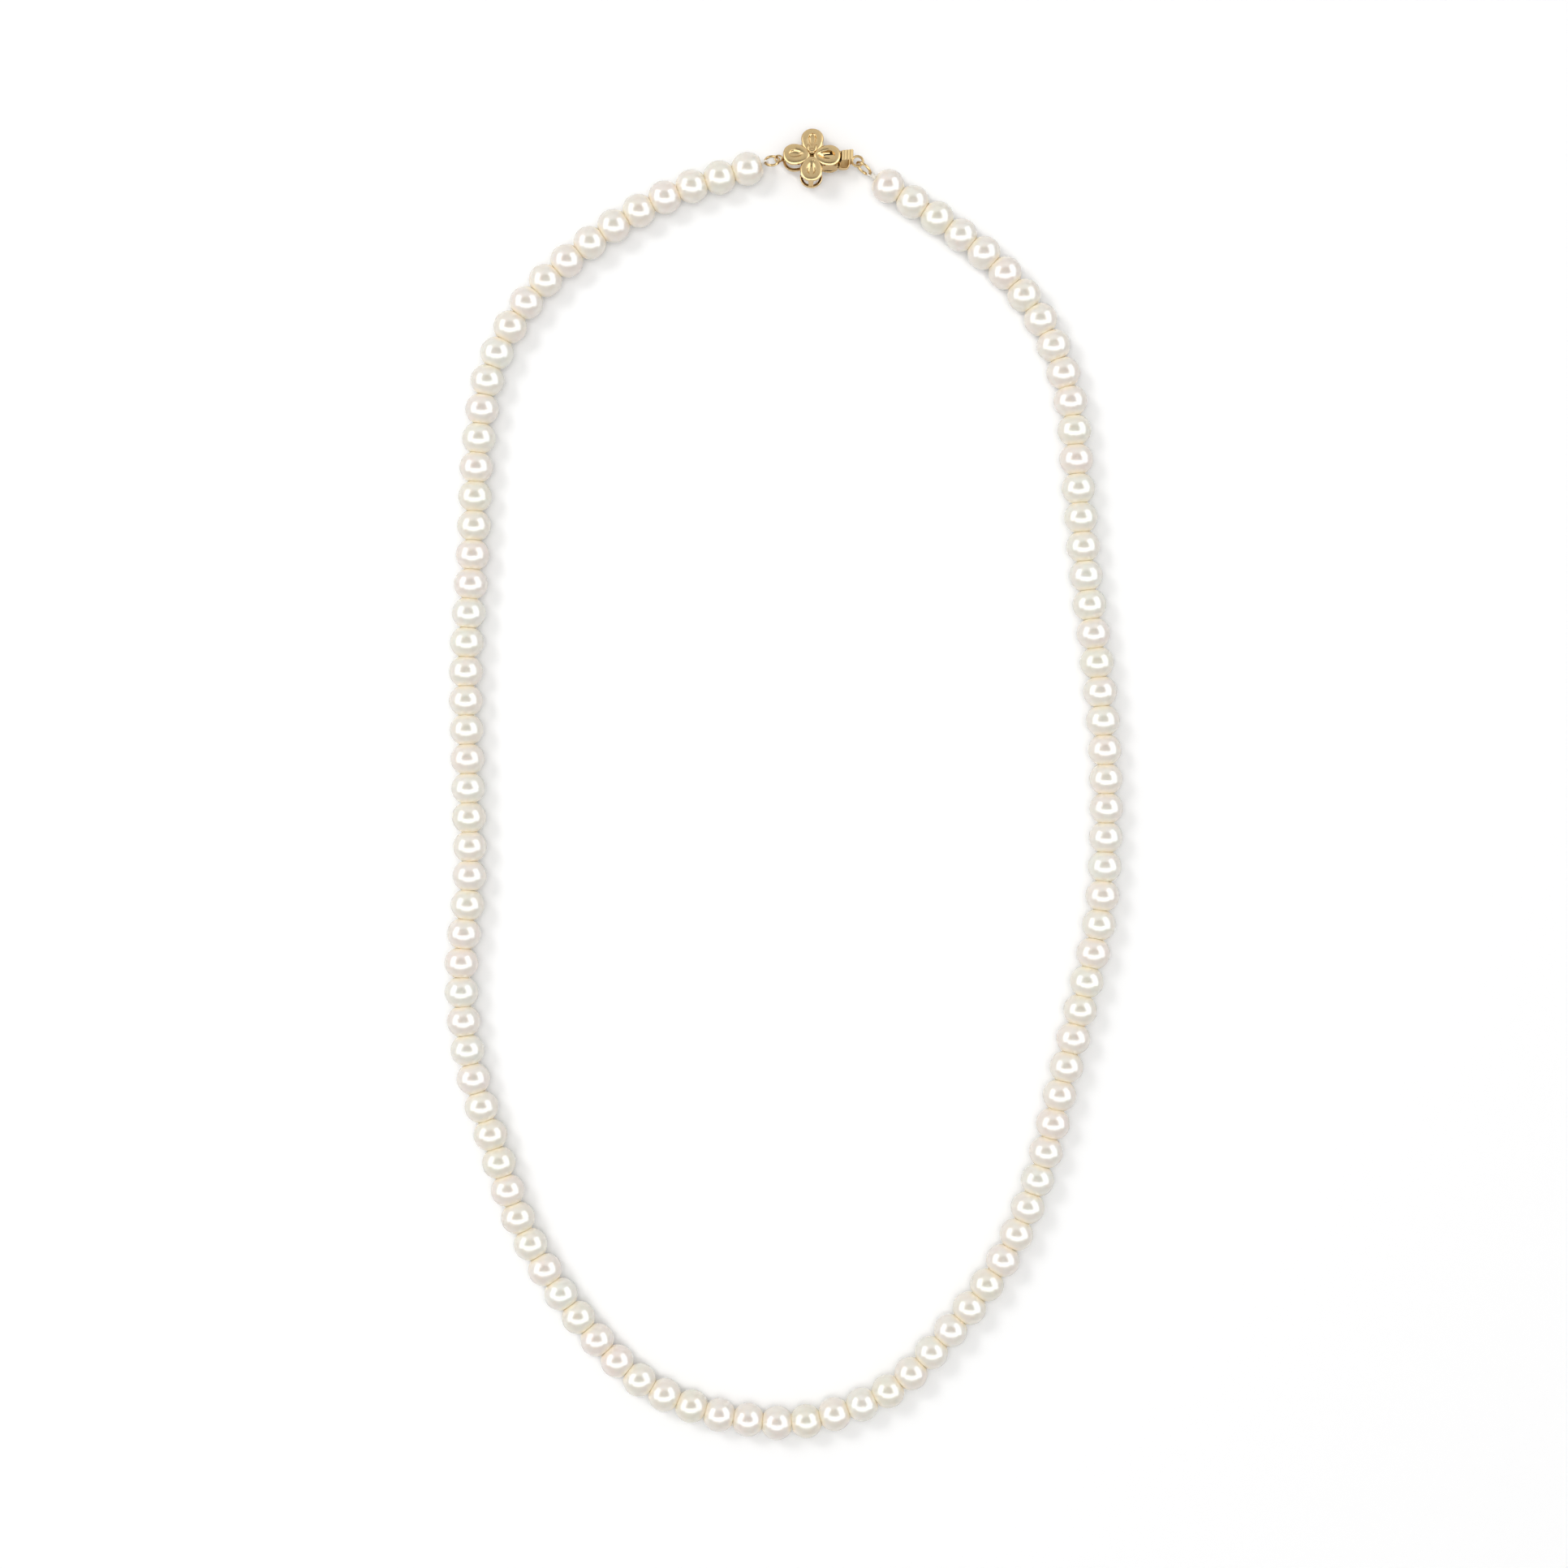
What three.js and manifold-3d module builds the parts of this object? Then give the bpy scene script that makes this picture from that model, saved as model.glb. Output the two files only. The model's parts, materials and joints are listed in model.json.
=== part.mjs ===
// Princess-length pearl necklace: 104 near-round pearls on a silk thread, closed by a gold flower box clasp.
// It lies on a table as a closed loop, clasp at the back (+Y). Units are millimetres and +Z is up.
import * as THREE from 'three';
import { mergeVertices } from 'three/addons/utils/BufferGeometryUtils.js';
import Module from 'manifold-3d';

const wasm = await Module();
wasm.setup();

// ---- driving dimensions ----

const PEARL_COUNT = 104;
const PEARLS_PER_RUN = 4;
const PEARL_RADIUS = 2.475;            // across the drill hole
const RUN_GAP = 0.3;                   // clear space between neighbouring pearls
const PEARL_POLE = 2.37;               // where the pearl's rounding would close if its ends weren't flat
const SHOULDER_AT = 1.25;              // distance along the drill axis of the outline's middle corner
const RIM_INSET = 0.1;                 // the flat end's rim lies this far behind its centre
const SILK_RADIUS = 0.35;
const LIFT = PEARL_RADIUS;             // height of the thread above the table

// The thread's route on the table, from the clasp's left end down the left side, round the front
// and back up the right side to the clasp's right end.
const ROUTE = [
  [-5.3, 89.2], [-16.6, 85.4], [-27.2, 79.2], [-36.5, 70.9], [-42.4, 60.5], [-44.4, 48.5],
  [-45.1, 33.9], [-46.1, 17.0], [-45.8, 0.1], [-45.6, -14.0], [-46.8, -27.2], [-45.7, -39.7],
  [-42.4, -51.4], [-38.0, -64.2], [-31.1, -75.7], [-21.9, -85.7], [-12.7, -90.5], [-4.3, -92.3],
  [3.7, -92.3], [15.2, -88.0], [24.3, -79.1], [32.2, -68.3], [37.1, -56.4], [40.3, -43.7],
  [43.2, -31.7], [45.8, -19.5], [46.7, -7.1], [46.5, 5.4], [45.4, 17.5], [43.8, 30.1],
  [42.7, 42.7], [41.5, 55.7], [37.9, 66.1], [31.7, 74.5], [23.9, 80.9], [15.1, 86.7],
];

// The clasp is built flat around its own centre, then leaned back on its rear petal.
const CLASP_AT = new THREE.Vector3(4.03, 90.74, 2.58);
const CLASP_LEAN = THREE.MathUtils.degToRad(-18);
const CLASP_TURN = THREE.MathUtils.degToRad(-2);

const PETAL_REACH = 4.18;
const PETAL_RADIUS = 1.62;
const PETAL_WAIST = 0.62;
const FACE_BOTTOM = 0.75;
const FACE_THICKNESS = 0.6;
const GALLERY_BOTTOM = -1.35;
const GALLERY_THICKNESS = 0.42;
const GALLERY_STRIP = 0.42;
const DISH = { halfWidth: 0.5, halfLength: 1.15, depth: 0.32, middle: 2.3 };
const POST = { halfWidth: 0.35, outside: 0.1, inside: 0.5 };   // how far inside the petal's tip
const SOLDER_GAP = 0.1;                // neighbours that are soldered together stand this far apart

const HOUSING = { left: -1.3, right: 3.75, halfWidth: 1.5, bottom: -0.78, top: 0.6, wall: 0.22 };
const ROOF_SLOT = { length: 1.1, halfWidth: 0.55 };
const TONGUE = { left: -0.95, halfWidth: 1.08, bottom: -0.46, thickness: 0.22 };
const FOLD = { length: 0.22, height: 0.1 };
const SPRING = { thickness: 0.2, start: 0.32, lift: 0.16, rise: 0.12 };
const NECK = { fromRoofEnd: 0.95, rise: 0.36, halfWidth: 0.45 };   // where the leaf passes the roof's slot
const TRAY = { left: 3.95, right: 5.5, halfWidth: 1.42, bottom: -0.72, rim: 0.26, height: 0.62, corner: 0.7 };
const TAB = { left: 4.3, right: 5.85, halfWidth: 0.86, thickness: 0.26, slope: 0.24, belowFace: 0.22 };
const STEP = { low: 0.05, high: 0.2 };   // the leaf climbs to the tab between these distances of its left edge
const TAB_END_LEAN = 0.06;
const GROOVE = { first: 0.42, pitch: 0.42, halfWidth: 0.07, depth: 0.06 };

const CUTTER_SPARE = 1;                // cutting blocks stand out this far, so that no faces coincide

const EYE = { x: -4.83, z: -0.5, ringRadius: 0.52, wire: 0.13 };
const END_RING = { x: 6.62, z: -0.5, ringRadius: 0.79, wire: 0.19 };
const RING_GIVE = { left: 0.02, right: 0.3 };   // how far off the ring's centre each jump ring hangs
const LINK_WIRE = 0.16;
const LEFT_LINK = { halfLength: 1.0, halfWidth: 1.2, roll: 48 };
const RIGHT_LINK = { halfLength: 1.2, halfWidth: 1.0, roll: 70 };
const LOOP_WIRE = 0.12;
const LEFT_KNOT = { loopRadius: 0.34, radius: 0.2, length: 0.22 };
const RIGHT_KNOT = { loopRadius: 0.36, radius: 0.38, length: 0.95 };
const KNOT_OUTLINE = [[0, 0], [0.7, 0.12], [1, 0.5], [0.7, 0.88], [0, 1]];   // shares of radius and length

// ---- materials ----

function nacre() {
  return new THREE.MeshStandardMaterial({ color: 0xe9e3da, roughness: 0.3, metalness: 0.0 });
}

function gold() {
  return new THREE.MeshStandardMaterial({ color: 0xcdb16a, roughness: 0.32, metalness: 1.0 });
}

function silk() {
  return new THREE.MeshStandardMaterial({ color: 0xefe9df, roughness: 0.9, metalness: 0.0 });
}

// ---- joining and cutting ----

function toSolid(geometry) {
  const bare = geometry.index ? geometry.clone() : geometry;
  bare.deleteAttribute('normal');
  bare.deleteAttribute('uv');
  const merged = mergeVertices(bare, 1e-5);
  return new wasm.Manifold(new wasm.Mesh({
    numProp: 3,
    vertProperties: Float32Array.from(merged.attributes.position.array),
    triVerts: Uint32Array.from(merged.index.array),
  }));
}

function toGeometry(solid) {
  const mesh = solid.getMesh();
  const geometry = new THREE.BufferGeometry();
  geometry.setAttribute('position', new THREE.BufferAttribute(mesh.vertProperties, 3));
  geometry.setIndex(new THREE.BufferAttribute(mesh.triVerts, 1));
  return geometry;
}

function join(geometries) {
  return geometries.map(toSolid).reduce((sum, next) => sum.add(next));
}

function box(x0, x1, y0, y1, z0, z1) {
  const geometry = new THREE.BoxGeometry(x1 - x0, y1 - y0, z1 - z0);
  return geometry.translate((x0 + x1) / 2, (y0 + y1) / 2, (z0 + z1) / 2);
}

function named(name, geometry, material) {
  const mesh = new THREE.Mesh(geometry, material);
  mesh.name = name;
  return mesh;
}

// ---- the pearl strand ----

const route = new THREE.CatmullRomCurve3(
  ROUTE.map(([x, y]) => new THREE.Vector3(x, y, LIFT)), false, 'catmullrom', 0.5);
route.arcLengthDivisions = 3000;
const ROUTE_LENGTH = route.getLength();
const PITCH = ROUTE_LENGTH / (PEARL_COUNT - 1);
const PEARL_HALF = (PITCH - RUN_GAP) / 2;

function pearlFrame(index) {
  const share = index / (PEARL_COUNT - 1);
  const centre = route.getPointAt(share);
  const along = route.getTangentAt(share);
  const across = new THREE.Vector3().crossVectors(along, new THREE.Vector3(0, 0, 1));
  return { centre, along, across };
}

// Half a pearl's outline as [radius, distance along the drill axis], from the waist to the hole:
// an ellipse as far as the rim, then the flat end.
function pearlOutline() {
  const onEllipse = (along) => [PEARL_RADIUS * Math.sqrt(1 - (along / PEARL_POLE) ** 2), along];
  return [
    onEllipse(0), onEllipse(SHOULDER_AT), onEllipse(PEARL_HALF - RIM_INSET), [SILK_RADIUS, PEARL_HALF],
  ];
}

// A run is turned straight on one axis, then each pearl is set at its own place on the route,
// so the silk between two pearls takes the bend.
function strandRun(firstPearl) {
  const half = pearlOutline();
  const mirrored = half.slice(1).reverse().map(([radius, along]) => [radius, -along]);
  const profile = [new THREE.Vector2(0, -PEARL_HALF)];
  for (let k = 0; k < PEARLS_PER_RUN; k += 1) {
    for (const [radius, along] of [...mirrored, ...half]) {
      profile.push(new THREE.Vector2(radius, k * PITCH + along));
    }
  }
  profile.push(new THREE.Vector2(0, (PEARLS_PER_RUN - 1) * PITCH + PEARL_HALF));
  const geometry = new THREE.LatheGeometry(profile, 8);
  const place = geometry.attributes.position;
  const point = new THREE.Vector3();
  for (let i = 0; i < place.count; i += 1) {
    const k = Math.round(place.getY(i) / PITCH);
    const { centre, along, across } = pearlFrame(firstPearl + k);
    point.copy(centre)
      .addScaledVector(across, place.getX(i))
      .addScaledVector(along, place.getY(i) - k * PITCH);
    point.z += place.getZ(i);
    place.setXYZ(i, point.x, point.y, point.z);
  }
  return geometry;
}

function addStrand(group) {
  const runs = PEARL_COUNT / PEARLS_PER_RUN;
  for (let run = 0; run < runs; run += 1) {
    const onLeft = run < runs / 2;
    const number = onLeft ? run + 1 : runs - run;
    const name = `${onLeft ? 'left' : 'right'}_pearl_run_${String(number).padStart(2, '0')}`;
    group.add(named(name, strandRun(run * PEARLS_PER_RUN), nacre()));
  }
}

// ---- the flower clasp ----

// One petal's outline, pointing along +Y from the flower's centre: a round end on a narrow waist.
function petalShape(radius, reach, waist, start) {
  const seat = reach - radius;
  const shape = new THREE.Shape();
  shape.moveTo(-waist, start);
  shape.lineTo(waist, start);
  shape.quadraticCurveTo(radius, seat - radius * 0.55, radius, seat);
  shape.absarc(0, seat, radius, 0, Math.PI, false);
  shape.quadraticCurveTo(-radius, seat - radius * 0.55, -waist, start);
  return shape;
}

function plate(shape, bottom, thickness, turn) {
  const geometry = new THREE.ExtrudeGeometry(shape, {
    depth: thickness, bevelEnabled: false, curveSegments: 9,
  });
  return geometry.rotateZ(turn).translate(0, 0, bottom);
}

const QUARTERS = [0, 1, 2, 3].map((n) => n * Math.PI / 2);

// The face: four flat petals, each with a long dished hollow.
function flowerFace() {
  const petals = QUARTERS.map((turn) =>
    plate(petalShape(PETAL_RADIUS, PETAL_REACH, PETAL_WAIST, -0.3), FACE_BOTTOM, FACE_THICKNESS, turn));
  const dishes = QUARTERS.map((turn) =>
    new THREE.SphereGeometry(1, 12, 8).scale(DISH.halfWidth, DISH.halfLength, DISH.depth)
      .translate(0, DISH.middle, FACE_BOTTOM + FACE_THICKNESS).rotateZ(turn));
  return dishes.map(toSolid).reduce((face, dish) => face.subtract(dish), join(petals));
}

// The gallery: four open petal loops of flat strip, under the face.
function gallery() {
  const loops = QUARTERS.map((turn) => {
    const shape = petalShape(PETAL_RADIUS, PETAL_REACH, PETAL_WAIST, -0.3);
    const inner = PETAL_RADIUS - GALLERY_STRIP;
    shape.holes.push(petalShape(inner, PETAL_REACH - GALLERY_STRIP, PETAL_WAIST - 0.3, 0.75));
    return plate(shape, GALLERY_BOTTOM, GALLERY_THICKNESS, turn);
  });
  return join(loops);
}

// A flat post that holds the face above the gallery, just inside a petal's tip.
function post(side) {
  const low = GALLERY_BOTTOM + GALLERY_THICKNESS + SOLDER_GAP;
  const outer = side * (PETAL_REACH - POST.outside);
  const inner = side * (PETAL_REACH - POST.inside);
  return box(-POST.halfWidth, POST.halfWidth, Math.min(outer, inner), Math.max(outer, inner),
    low, FACE_BOTTOM - SOLDER_GAP);
}

// The box that takes the tongue: a flat sleeve, closed on the left and open on the right,
// with a slot in its roof for the thumb tab's neck.
function housing() {
  const { left, right, halfWidth, bottom, top, wall } = HOUSING;
  const block = toSolid(box(left, right, -halfWidth, halfWidth, bottom, top));
  const beyond = right + CUTTER_SPARE;
  const inside = toSolid(box(left + wall, beyond, wall - halfWidth, halfWidth - wall,
    bottom + wall, top - wall));
  const slot = toSolid(box(right - ROOF_SLOT.length, beyond, -ROOF_SLOT.halfWidth, ROOF_SLOT.halfWidth,
    top - wall - 0.1, top + CUTTER_SPARE));
  return block.subtract(inside).subtract(slot);
}

function ring({ x, z, ringRadius, wire }) {
  return new THREE.TorusGeometry(ringRadius, wire, 8, 20).translate(x, 0, z);
}

// The tongue's lower leaf runs out of the sleeve and ends in a tray with a raised rim.
function tongueLeaf() {
  const leafTop = TONGUE.bottom + TONGUE.thickness;
  const leaf = box(TONGUE.left, TRAY.left + 0.2, -TONGUE.halfWidth, TONGUE.halfWidth,
    TONGUE.bottom, leafTop);
  const fold = box(TONGUE.left, TONGUE.left + FOLD.length, -TONGUE.halfWidth, TONGUE.halfWidth,
    TONGUE.bottom, leafTop + FOLD.height);
  const trayTop = TRAY.bottom + TRAY.height;
  const shell = traySlab(0, TRAY.bottom, trayTop);
  const hollow = traySlab(TRAY.rim, TRAY.bottom + TRAY.rim, trayTop + CUTTER_SPARE);
  return toSolid(shell).subtract(toSolid(hollow)).add(toSolid(leaf)).add(toSolid(fold));
}

// The tray is straight on the side of the sleeve and has round corners on the other.
function traySlab(inset, bottom, top) {
  const half = TRAY.halfWidth - inset;
  const right = TRAY.right - inset;
  const corner = TRAY.corner - inset;
  const shape = new THREE.Shape();
  shape.moveTo(TRAY.left + inset, -half);
  shape.lineTo(right - corner, -half);
  shape.absarc(right - corner, corner - half, corner, -Math.PI / 2, 0, false);
  shape.absarc(right - corner, half - corner, corner, 0, Math.PI / 2, false);
  shape.lineTo(TRAY.left + inset, half);
  shape.closePath();
  return new THREE.ExtrudeGeometry(shape, { depth: top - bottom, bevelEnabled: false, curveSegments: 5 })
    .translate(0, 0, bottom);
}

// The tongue's upper leaf springs up from the fold. Its outline, seen from the side, rises through
// the sleeve's slot to the ridged thumb tab, and three grooves cross the tab.
function springLeaf() {
  const start = TONGUE.left + SPRING.start;
  const low = TONGUE.bottom + TONGUE.thickness + SPRING.lift;
  const neck = HOUSING.right - NECK.fromRoofEnd;
  const neckTop = low + NECK.rise;
  const tabLow = FACE_BOTTOM + FACE_THICKNESS - TAB.belowFace;
  const tabHigh = tabLow + (TAB.right - TAB.left) * TAB.slope;
  const t = SPRING.thickness;
  const side = new THREE.Shape();
  side.moveTo(start, low);
  side.lineTo(neck, low + SPRING.rise);
  side.lineTo(TAB.left - STEP.low, neckTop);
  side.lineTo(TAB.left + STEP.high, tabLow);
  side.lineTo(TAB.right, tabHigh);
  side.lineTo(TAB.right - TAB_END_LEAN, tabHigh + TAB.thickness);
  side.lineTo(TAB.left + STEP.low, tabLow + TAB.thickness);
  side.lineTo(TAB.left - STEP.high, neckTop + t);
  side.lineTo(neck, low + SPRING.rise + t);
  side.lineTo(start, low + t);
  side.closePath();
  const strip = new THREE.ExtrudeGeometry(side, { depth: 2 * TAB.halfWidth, bevelEnabled: false })
    .translate(0, 0, -TAB.halfWidth).rotateX(Math.PI / 2);
  const trim = (y0, y1) => toSolid(box(start - 1, TAB.left - 0.3, y0, y1, -1, 1));
  const grooves = [0, 1, 2].map((n) => {
    const x = TAB.left + GROOVE.first + n * GROOVE.pitch;
    const z = tabLow + TAB.thickness + (x - TAB.left) * TAB.slope;
    return toSolid(box(x - GROOVE.halfWidth, x + GROOVE.halfWidth, -2, 2, z - GROOVE.depth, z + 1));
  });
  const leaf = toSolid(strip).subtract(trim(NECK.halfWidth, 2))
    .subtract(trim(-2, -NECK.halfWidth));
  return grooves.reduce((solid, groove) => solid.subtract(groove), leaf);
}

// ---- jump rings and thread loops at the two ends ----

// Both ends are laid out from the ring they hang on towards the first pearl.
// along: from the ring to the pearl; across: the jump ring's other direction; roll: its lean.
function endFrame(from, to, roll) {
  const along = new THREE.Vector3().subVectors(to, from).normalize();
  const level = new THREE.Vector3().crossVectors(new THREE.Vector3(0, 0, 1), along).normalize();
  const upright = new THREE.Vector3().crossVectors(along, level);
  const across = level.multiplyScalar(Math.cos(roll)).addScaledVector(upright, Math.sin(roll));
  const normal = new THREE.Vector3().crossVectors(along, across);
  return { along, across, normal };
}

function placed(geometry, xAxis, yAxis, zAxis, at) {
  const basis = new THREE.Matrix4().makeBasis(xAxis, yAxis, zAxis).setPosition(at);
  return geometry.applyMatrix4(basis);
}

function jumpRing(frame, near, { halfLength, halfWidth }) {
  const geometry = new THREE.TorusGeometry(1, LINK_WIRE, 8, 24);
  const place = geometry.attributes.position;
  for (let i = 0; i < place.count; i += 1) {
    const spread = Math.hypot(place.getX(i), place.getY(i));
    const grow = (spread - 1) / spread;
    const x = place.getX(i);
    const y = place.getY(i);
    place.setXYZ(i,
      (x / spread) * halfLength + x * grow, (y / spread) * halfWidth + y * grow, place.getZ(i));
  }
  const centre = near.clone().addScaledVector(frame.along, halfLength);
  return placed(geometry, frame.along, frame.across, frame.normal, centre);
}

// The silk's end: a loop round the jump ring's wire, whipped into a knot against the first pearl.
function threadLoop(frame, far, { loopRadius, radius, length }) {
  const loop = placed(new THREE.TorusGeometry(loopRadius, LOOP_WIRE, 8, 16),
    frame.along, frame.normal, frame.across.clone().negate(), far);
  const outline = KNOT_OUTLINE.map(([width, along]) => new THREE.Vector2(width * radius, along * length));
  const start = far.clone().addScaledVector(frame.along, loopRadius - LOOP_WIRE * 0.6);
  const knot = placed(new THREE.LatheGeometry(outline, 10),
    frame.across, frame.along, frame.normal.clone().negate(), start);
  return toGeometry(join([loop, knot]));
}

// ---- assembly ----

const necklace = new THREE.Group();
addStrand(necklace);

const clasp = new THREE.Group();
clasp.position.copy(CLASP_AT);
clasp.rotation.set(CLASP_LEAN, 0, CLASP_TURN);
clasp.add(named('flower_face', toGeometry(flowerFace()), gold()));
clasp.add(named('gallery_back', toGeometry(gallery()), gold()));
clasp.add(named('gallery_post_front', post(-1), gold()));
clasp.add(named('gallery_post_rear', post(1), gold()));
clasp.add(named('tongue_housing', toGeometry(housing()), gold()));
clasp.add(named('left_eye_ring', ring(EYE), gold()));
clasp.add(named('tongue_leaf', toGeometry(tongueLeaf()), gold()));
clasp.add(named('spring_leaf_with_thumb_tab', toGeometry(springLeaf()), gold()));
clasp.add(named('tongue_end_ring', ring(END_RING), gold()));
necklace.add(clasp);
clasp.updateMatrixWorld(true);

const eyeAt = new THREE.Vector3(EYE.x - RING_GIVE.left, 0, EYE.z).applyMatrix4(clasp.matrixWorld);
const leftPearl = pearlFrame(0);
const leftStart = leftPearl.centre.clone().addScaledVector(leftPearl.along, -PEARL_HALF);
const leftEnd = endFrame(eyeAt, leftStart, THREE.MathUtils.degToRad(LEFT_LINK.roll));
const leftFar = eyeAt.clone().addScaledVector(leftEnd.along, 2 * LEFT_LINK.halfLength);
necklace.add(named('left_jump_ring', jumpRing(leftEnd, eyeAt, LEFT_LINK), gold()));
necklace.add(named('left_silk_loop', threadLoop(leftEnd, leftFar, LEFT_KNOT), silk()));

const endRingAt = new THREE.Vector3(END_RING.x, -RING_GIVE.right, END_RING.z)
  .applyMatrix4(clasp.matrixWorld);
const rightPearl = pearlFrame(PEARL_COUNT - 1);
const rightStart = rightPearl.centre.clone().addScaledVector(rightPearl.along, PEARL_HALF);
const rightEnd = endFrame(endRingAt, rightStart, THREE.MathUtils.degToRad(RIGHT_LINK.roll));
const rightFar = endRingAt.clone().addScaledVector(rightEnd.along, 2 * RIGHT_LINK.halfLength);
necklace.add(named('right_jump_ring', jumpRing(rightEnd, endRingAt, RIGHT_LINK), gold()));
necklace.add(named('right_silk_loop', threadLoop(rightEnd, rightFar, RIGHT_KNOT), silk()));

export default necklace;
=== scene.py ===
import json
import math
import random

import bpy
from mathutils import Matrix, Vector


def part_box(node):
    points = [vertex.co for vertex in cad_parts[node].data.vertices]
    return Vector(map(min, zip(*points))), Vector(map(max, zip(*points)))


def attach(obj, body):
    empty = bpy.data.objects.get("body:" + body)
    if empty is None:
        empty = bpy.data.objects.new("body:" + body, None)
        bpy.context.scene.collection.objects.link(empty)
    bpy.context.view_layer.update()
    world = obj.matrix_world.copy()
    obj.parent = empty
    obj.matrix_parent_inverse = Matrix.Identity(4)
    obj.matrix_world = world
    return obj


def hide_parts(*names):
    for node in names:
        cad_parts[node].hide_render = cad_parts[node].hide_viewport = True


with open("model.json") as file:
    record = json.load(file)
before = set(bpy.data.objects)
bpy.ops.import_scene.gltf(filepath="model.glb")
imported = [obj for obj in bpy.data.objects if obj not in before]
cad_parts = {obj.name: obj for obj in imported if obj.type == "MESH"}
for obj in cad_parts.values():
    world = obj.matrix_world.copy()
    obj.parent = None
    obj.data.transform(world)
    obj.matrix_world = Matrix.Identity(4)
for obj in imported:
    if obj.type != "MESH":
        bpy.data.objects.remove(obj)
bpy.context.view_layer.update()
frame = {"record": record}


# ---- The view ----
# The necklace lies flat in a closed loop, clasp at the back, and is looked at from straight above.
MM = 0.001
CAMERA_HEIGHT = 530 * MM
VIEW_WIDTH = 227.4 * MM
SENSOR = 36.0

pearl_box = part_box("left_pearl_run_05")
thread_height = (pearl_box[0][2] + pearl_box[1][2]) / 2
camera_data = bpy.data.cameras.new("overhead_camera")
camera_data.sensor_width = SENSOR
camera_data.lens = SENSOR * (CAMERA_HEIGHT - thread_height) / VIEW_WIDTH
camera_data.clip_start = 10 * MM
camera = bpy.data.objects.new("overhead_camera", camera_data)
camera.location = (0, 0, CAMERA_HEIGHT)
bpy.context.scene.collection.objects.link(camera)
bpy.context.scene.camera = camera


# ---- The table and the lights ----
# A plain white table under the necklace, lit by a broad overhead light and a key from the back left. The
# cool reflector panels stand all round and are there to be mirrored in the pearls and the gold.
PANEL_DISTANCE = 1.5
PANEL_COLOUR = (0.86, 0.95, 1.0)
CEILING_LEAN = math.radians(8)
SKY = (0.60, 0.60, 0.60, 1)
DARK_CEILING = (0.02, 0.015, 0.01, 1)
TABLE_SIZE = 6


def node_material(name):
    material = bpy.data.materials.new(name)
    material.use_nodes = True
    shader = material.node_tree.nodes["Principled BSDF"]
    return material, material.node_tree, shader


def soft_panel(name, azimuth, elevation, size, watts):
    """azimuth 0 is the front (-Y), 90 the right (+X)."""
    light = bpy.data.lights.new(name, "AREA")
    light.shape = "RECTANGLE"
    light.size, light.size_y = size
    light.energy = watts
    lamp = bpy.data.objects.new(name, light)
    turn, rise = math.radians(azimuth), math.radians(elevation)
    place = Vector((math.sin(turn) * math.cos(rise), -math.cos(turn) * math.cos(rise), math.sin(rise)))
    lamp.location = place * PANEL_DISTANCE
    lamp.rotation_euler = place.to_track_quat("Z", "Y").to_euler()
    bpy.context.scene.collection.objects.link(lamp)
    return lamp


overhead = soft_panel("overhead_light", 0, 90, (0.9, 0.9), 11.0)
key = soft_panel("key_light_back_left", -128, 50, (0.45, 0.45), 6.0)
for lamp in (overhead, key):
    lamp.visible_glossy = False
mirrored_panels = [
    soft_panel("panel_front", 0, 64, (2.6, 0.9), 16.5),
    soft_panel("panel_left", -102, 31, (1.9, 1.05), 14.0),
    soft_panel("panel_right", 104, 32, (2.2, 1.2), 19.5),
    soft_panel("panel_back", 180, 30, (2.6, 1.2), 4.5),
]
for lamp in mirrored_panels:
    lamp.visible_diffuse = False
    lamp.data.color = PANEL_COLOUR

world = bpy.data.worlds.new("studio")
world.use_nodes = True
bpy.context.scene.world = world
background = world.node_tree.nodes["Background"]
direction = world.node_tree.nodes.new("ShaderNodeTexCoord")
near_top = world.node_tree.nodes.new("ShaderNodeVectorMath")
near_top.operation = "DOT_PRODUCT"
near_top.inputs[1].default_value = (0.0, math.sin(CEILING_LEAN), math.cos(CEILING_LEAN))
ceiling = world.node_tree.nodes.new("ShaderNodeValToRGB")
ceiling.color_ramp.elements[0].position = 0.86
ceiling.color_ramp.elements[0].color = SKY
ceiling.color_ramp.elements[1].position = 0.91
ceiling.color_ramp.elements[1].color = DARK_CEILING
world.node_tree.links.new(direction.outputs["Generated"], near_top.inputs[0])
world.node_tree.links.new(near_top.outputs["Value"], ceiling.inputs["Fac"])
world.node_tree.links.new(ceiling.outputs["Color"], background.inputs["Color"])

bpy.ops.mesh.primitive_plane_add(size=TABLE_SIZE)
table = bpy.context.active_object
table.name = "white_table"
table_material, _, table_shader = node_material("white_table")
table_shader.inputs["Base Color"].default_value = (0.92, 0.92, 0.92, 1)
table_shader.inputs["Roughness"].default_value = 0.9
table_shader.inputs["Specular IOR Level"].default_value = 0.0
table.data.materials.append(table_material)
bpy.context.scene.view_settings.view_transform = "Standard"


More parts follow.
